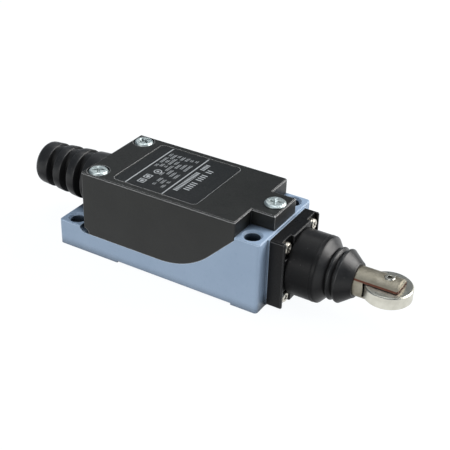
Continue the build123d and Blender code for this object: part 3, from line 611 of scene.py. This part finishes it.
def add_cable_inlet():
    """Tapered rubber inlet: three deep side slots with webs above and below, and a bore."""
    stations = [
        (-46.99, False, 1.35), (-46.9, False, 0.85), (-46.65, False, 0.42), (-46.25, False, 0.14),
        (-45.7, False, 0.0),
    ]
    for centre in GLAND_SLOTS:
        left, right = centre - GLAND_SLOT_HALF, centre + GLAND_SLOT_HALF
        stations += [
            (left - 0.30, False, 0.0), (left - 0.12, False, 0.035), (left - 0.02, False, 0.14),
            (left, False, 0.30), (left + 0.02, True, 0.0), (right - 0.02, True, 0.0),
            (right, False, 0.30), (right + 0.02, False, 0.14), (right + 0.12, False, 0.035),
            (right + 0.30, False, 0.0),
        ]
    stations += [(-25.6, False, 0.0), (-23.55, False, 0.0), (-23.42, False, 0.12)]
    count = 160
    rings = []
    for x, slotted, inset in stations:
        full = gland_radius(x) - inset
        ring = []
        for k in range(count):
            turn = 2 * math.pi * k / count
            side, rise = math.sin(turn), math.cos(turn)
            radius = full
            if slotted:
                core = 1 / math.sqrt((side / GLAND_CORE_HALF) ** 2 + (rise / (full - 0.3)) ** 2)
                radius = min(full, core)
            ring.append((x, radius * side, GLAND_Z + radius * rise))
        rings.append(ring)

    def plain_ring(x, radius):
        return [
            (x, radius * math.sin(2 * math.pi * k / count),
             GLAND_Z + radius * math.cos(2 * math.pi * k / count)) for k in range(count)
        ]

    for x, radius in (
        (-23.42, 6.45), (-21.42, 6.45), (-21.38, 7.35), (-19.92, 7.05), (-19.92, 3.6),
        (-20.1, 3.5), (-46.4, 3.5), (-46.85, 3.72), (-46.99, 4.05),
    ):
        rings.append(plain_ring(x, radius))
    vertices, faces = swept_rings(rings, wrap=True)
    add_piece("cable_inlet_moulded", vertices, faces, "boot_rubber", ["cable_boot"], crease=48)


# ---- label print ------------------------------------------------------------------------------
LABEL_TOP = 24.85
INK = 0.02


def add_label_print():
    """Generic print: two rules, rows of dashes, a contact symbol and two plain marks."""
    base, top = LABEL_TOP - 0.005, LABEL_TOP + INK

    def bar(x, y0, y1, width):
        return plate(x - width / 2, x + width / 2, y0, y1, base, top, 0.005)

    shapes = [bar(-10.45, -11.55, 11.7, 0.36), bar(1.22, -11.5, 11.7, 0.36)]
    rows = (
        (-9.05, (9.2, 7.4), (6.6, 2.9), (2.0, 0.4)),
        (-7.75, (9.0, 6.2), (5.4, 3.6), (2.8, 0.9)),
        (-6.45, (9.2, 7.8), (7.0, 3.1), (2.3, 1.2)),
        (-5.00, (9.1, 6.9), (6.1, 3.9), (3.1, -0.4), (-1.3, -3.2)),
        (-3.60, (9.2, 7.2), (4.9, 2.1), (0.9, -1.9), (-4.2, -6.5), (-7.3, -8.6)),
        (-2.20, (9.0, 7.7), (5.6, 2.6), (0.3, -2.6), (-4.6, -7.0)),
        (-0.75, (9.3, 8.0), (6.0, 2.0), (-0.2, -3.0), (-4.8, -6.1), (-7.0, -8.8)),
    )
    for x, *dashes in rows:
        for y1, y0 in dashes:
            shapes.append(bar(x + 0.24, y0, y1, 0.16))
            shapes.append(bar(x - 0.24, y0, y1 - 0.3, 0.16))
    # heading: two rows of even strokes
    for x, reach, pitch, height, gaps in (
        (2.95, 8.5, 0.74, 1.35, (5, 6)), (5.25, 6.0, 1.0, 1.8, (2, 7)),
    ):
        for k in range(int(2 * reach / pitch) + 1):
            if k not in gaps:
                y = reach - k * pitch
                shapes.append(
                    plate(x - height / 2, x + height / 2, y - 0.2, y + 0.2, base, top, 0.005)
                )
    # plain marks: one ring and two open squares with a dot
    for cx, cy, outer, inner, corners in (
        (-6.55, -1.95, 1.15, 0.88, 48), (-7.25, -5.6, 1.45, 1.1, 4), (-7.25, -8.4, 1.45, 1.1, 4),
        (-6.55, -1.95, 0.4, 0.1, 24), (-7.25, -5.6, 0.5, 0.1, 24), (-7.25, -8.4, 0.5, 0.1, 24),
    ):
        rings = []
        for radius, z in ((inner, base), (inner, top), (outer, top), (outer, base)):
            ring = []
            for k in range(corners):
                turn = 2 * math.pi * (k + 0.5) / corners
                ring.append((cx + radius * math.cos(turn), cy + radius * math.sin(turn), z))
            rings.append(ring)
        shapes.append(swept_rings(rings, wrap=True))
    vertices, faces = joined(shapes)
    add_piece("label_print", vertices, faces, "label_film")
    bpy.data.objects["label_print"].data.materials[0] = label_ink()


# ---- screws -----------------------------------------------------------------------------------
def screw_shape(head_r, head_h, shank_r, length, thread=0.5):
    """Pan head with a rounded rim, flat crown and a grooved shank; seat at z 0."""
    outline = rounded([
        (0.001, head_h, 0), (head_r * 0.84, head_h * 0.96, 0.35), (head_r, head_h * 0.42, 0.25),
        (head_r, 0.0, 0.08), (shank_r, 0.0, 0.1), (shank_r, -0.6, 0),
    ])
    z = -0.7
    while z > -length + 0.4:
        outline += [(shank_r, z), (shank_r - 0.28, z - 0.5 * thread)]
        z -= thread
    outline += [(shank_r - 0.3, -length + 0.25), (shank_r - 0.55, -length)]
    turns = [2 * math.pi * k / 72 for k in range(72)]
    rings = [[(r * math.cos(turn), r * math.sin(turn), z) for turn in turns] for r, z in outline]
    return swept_rings(rings, closed_ends=True)


def cross_cutter(reach, width, depth, head_h):
    """Tapered cross for the driver recess, a little above the crown."""
    shapes = []
    for swap in (False, True):
        levels = []
        for share, z in (
            (1.06, head_h + 0.1), (1.0, head_h), (0.45, head_h - depth), (0.1, head_h - depth * 1.15),
        ):
            a, b = reach * share, width * (0.35 + 0.65 * share) / 2
            corners = [(-a, -b), (a, -b), (a, b), (-a, b)]
            if swap:
                corners = [(-v, u) for u, v in corners]
            levels.append([(u, v, z) for u, v in corners])
        shapes.append(swept_rings(levels, closed_ends=True))
    return shapes


def add_screws(name, places, head_r, head_h, shank_r, length, recess, slot, replaced, along="z"):
    """Screws with a cut cross recess at each (x, y, z, turn); recess is (reach, width, depth)."""
    vertices, faces = screw_shape(head_r, head_h, shank_r, length)
    blank = bpy.data.meshes.new("blank")
    blank.from_pydata(vertices, [], faces)
    body = bpy.data.objects.new("blank", blank)
    bpy.context.scene.collection.objects.link(body)
    cutters = []
    for cutter_vertices, cutter_faces in cross_cutter(*recess, head_h):
        tool = bpy.data.meshes.new("tool")
        tool.from_pydata(cutter_vertices, [], cutter_faces)
        cutter = bpy.data.objects.new("tool", tool)
        bpy.context.scene.collection.objects.link(cutter)
        cutters.append(cutter)
        cut = body.modifiers.new("cut", "BOOLEAN")
        cut.operation = "DIFFERENCE"
        cut.solver = "EXACT"
        cut.object = cutter
    for item in [body] + cutters:
        fixer = bmesh.new()
        fixer.from_mesh(item.data)
        bmesh.ops.recalc_face_normals(fixer, faces=fixer.faces)
        fixer.to_mesh(item.data)
        fixer.free()
    bpy.context.view_layer.update()
    cut_mesh = body.evaluated_get(bpy.context.evaluated_depsgraph_get()).to_mesh()
    base_vertices = [tuple(v.co) for v in cut_mesh.vertices]
    base_faces = [tuple(p.vertices) for p in cut_mesh.polygons]
    for item in cutters + [body]:
        bpy.data.objects.remove(item)
    shapes = []
    for x, y, z, turn in places:
        place = Matrix.Translation((x, y, z))
        if along == "x":
            place = place @ Matrix.Rotation(math.radians(90), 4, "Y")
        place = place @ Matrix.Rotation(math.radians(turn), 4, "Z")
        shapes.append(([tuple(place @ Vector(v)) for v in base_vertices], base_faces))
    vertices, faces = joined(shapes)
    add_piece(name, vertices, faces, slot, [replaced], crease=32)


def add_all_screws():
    """Cover and head screws, with the driver recess cut to shape."""
    add_screws(
        "cover_screw_front_cut", [(28.5, 0, 25.0, 20)], 2.88, 0.8, 1.4, 7.7,
        (1.75, 0.85, 0.95), "zinc_screw", "cover_screw_front",
    )
    add_screws(
        "cover_screws_rear_cut", [(-20.0, -10.6, 24.1, 35), (-20.0, 10.6, 24.1, 70)],
        2.78, 1.3, 1.4, 22.3, (1.7, 0.85, 1.0), "zinc_screw", "cover_screws_rear",
    )
    places = []
    for y, z, turn in ((-7.1, 3.2, 15), (7.1, 3.2, 50), (-7.1, 18.0, 72), (7.1, 18.0, 30)):
        places.append((35.7, y, z, turn))
    add_screws(
        "head_screws_cut", places, 1.6, 1.15, 0.93, 8.5, (0.9, 0.5, 0.65),
        "nickel_screw", "head_screws", along="x",
    )


# ---- springs ------------------------------------------------------------------------------------
def coil_shape(x0, x1, turns, mean_r, wire_r):
    """Coil along X with closed end turns; dead is how many turns each end is closed."""
    length = x1 - x0 - 2 * wire_r
    steps = int(turns * 28)
    dead = 0.75
    rings = []
    for step in range(steps + 1):
        at = turns * step / steps
        live = min(max(at - dead, 0.0), turns - 2 * dead) / (turns - 2 * dead)
        closed = 2 * wire_r * (min(at, dead) + max(at - turns + dead, 0.0))
        x = x0 + wire_r + closed + live * (length - 4 * wire_r * dead)
        turn = 2 * math.pi * at
        centre = Vector((x, mean_r * math.cos(turn), AXIS_Z + mean_r * math.sin(turn)))
        outward = Vector((0, math.cos(turn), math.sin(turn)))
        ring = []
        for k in range(12):
            a = 2 * math.pi * k / 12
            arm = outward * math.cos(a) + Vector((1, 0, 0)) * math.sin(a)
            ring.append(tuple(centre + arm * wire_r))
        rings.append(ring)
    return swept_rings(rings, closed_ends=True)


def add_springs():
    """Return, overtravel and pusher springs, each wound between its seats and fixed to its body."""
    for name, span, turns, mean_r, wire_r, body, joint, anchor_x, keep in (
        ("return_spring", (25.25, 35.95), 7.0, 3.3, 0.35, "housing", "plunger_slide", 25.2, 0.53),
        ("overtravel_spring", (15.45, 20.95), 6.5, 1.6, 0.2, "plunger", "plunger_slide", 21.0, 0.30),
        ("pusher_spring", (-5.25, -2.55), 5.0, 1.5, 0.15, "housing", "pusher_slide", -5.3, 0.53),
    ):
        vertices, faces = coil_shape(*span, turns, mean_r, wire_r)
        coil = add_piece(name + "_wound", vertices, faces, "spring_steel", [name], body=body, crease=60)
        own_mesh(coil)


dress_cad_nodes()
add_bellows()
add_cable_inlet()
add_label_print()
add_all_screws()
add_springs()
add_camera()
add_stage()
